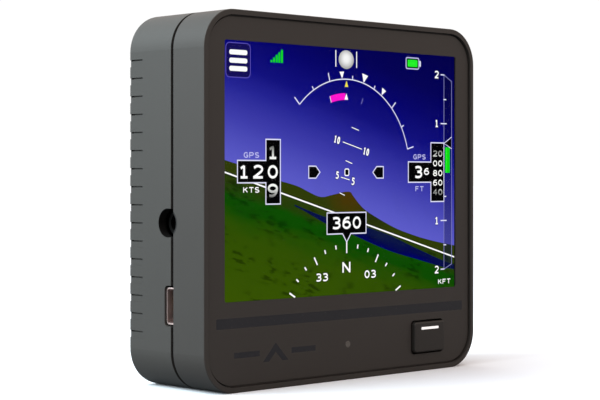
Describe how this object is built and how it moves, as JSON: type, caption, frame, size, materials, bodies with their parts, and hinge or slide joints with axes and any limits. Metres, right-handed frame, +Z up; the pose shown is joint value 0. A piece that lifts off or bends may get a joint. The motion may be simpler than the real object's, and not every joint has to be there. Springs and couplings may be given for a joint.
{
  "type": "portable aviation gps",
  "caption": "Palm-sized flight navigation display in a ribbed two-shell case with a power key, side sockets and a rear mounting pattern.",
  "frame": {"origin": "centre of the resting face under the case, half-way between its front and back", "axes": "+Z up, the display looks towards -Y, the sockets are in the -X side"},
  "size_m": [0.0824, 0.025, 0.0775],
  "materials": {
    "case_plastic": "fine textured matt moulding",
    "gasket": "matt silicone",
    "gloss_trim": "polished dark trim",
    "clear_plastic": "smoky clear light pipe",
    "lens_glass": "clear cover glass over a dark display",
    "display_glass": "laminated display glass",
    "white_plastic": "white moulding",
    "key_plastic": "fine matt moulding",
    "bar_white": "white index bar",
    "steel": "bright stamped steel",
    "screw_steel": "blackened steel",
    "brass": "machined brass",
    "board_green": "solder-masked laminate",
    "chip_black": "moulded package",
    "ceramic": "fired ceramic",
    "passive_tan": "ceramic with tinned ends",
    "foam": "closed-cell foam",
    "foil_pouch": "laminated foil pouch",
    "lead_red": "insulated lead",
    "lead_black": "insulated lead",
    "connector_white": "moulded connector",
    "flex_amber": "polyimide flat cable",
    "label": "satin blank plate",
    "socket_black": "moulded connector"
  },
  "bodies": {
    "case": {"front_shell": "case_plastic", "rear_shell": "case_plastic", "seam_gasket": "gasket", "accent_strip": "gloss_trim", "badge_inlay": "gloss_trim", "light_pipe": "clear_plastic", "light_sensor": "chip_black", "display_lens": "lens_glass", "bonding_layer": "clear_plastic", "display_gasket": "foam", "lcd_cell": "display_glass", "backlight_unit": "white_plastic", "display_pads": "foam", "display_bracket": "steel", "bracket_screws": "steel", "bracket_standoffs": "brass", "key_switch": "chip_black", "main_board": "board_green", "processor_chip": "chip_black", "memory_chips": "chip_black", "gps_receiver": "steel", "gps_patch_antenna": "ceramic", "patch_electrode": "steel", "inertial_sensor": "chip_black", "wifi_module": "steel", "power_inductors": "chip_black", "board_passives": "passive_tan", "usb_shell": "steel", "usb_tongue": "socket_black", "antenna_jack": "socket_black", "jack_contact": "brass", "lcd_ribbon": "flex_amber", "touch_ribbon": "flex_amber", "ribbon_sockets": "connector_white", "battery_cell": "foil_pouch", "battery_pads": "foam", "battery_lead_red": "lead_red", "battery_lead_black": "lead_black", "battery_plug": "connector_white", "battery_socket": "connector_white", "front_inserts": "brass", "case_screws": "screw_steel", "mount_inserts": "brass", "back_label": "label"},
    "key": {"power_key": "key_plastic", "key_light_bar": "bar_white", "key_plunger": "white_plastic"}
  },
  "joints": [
    {"name": "power_key_press", "type": "slide", "parent": "case", "child": "key", "axis": [0, 1, 0], "range_m": [0, 0.0006], "stiffness_N_per_m": 1500}
  ]
}
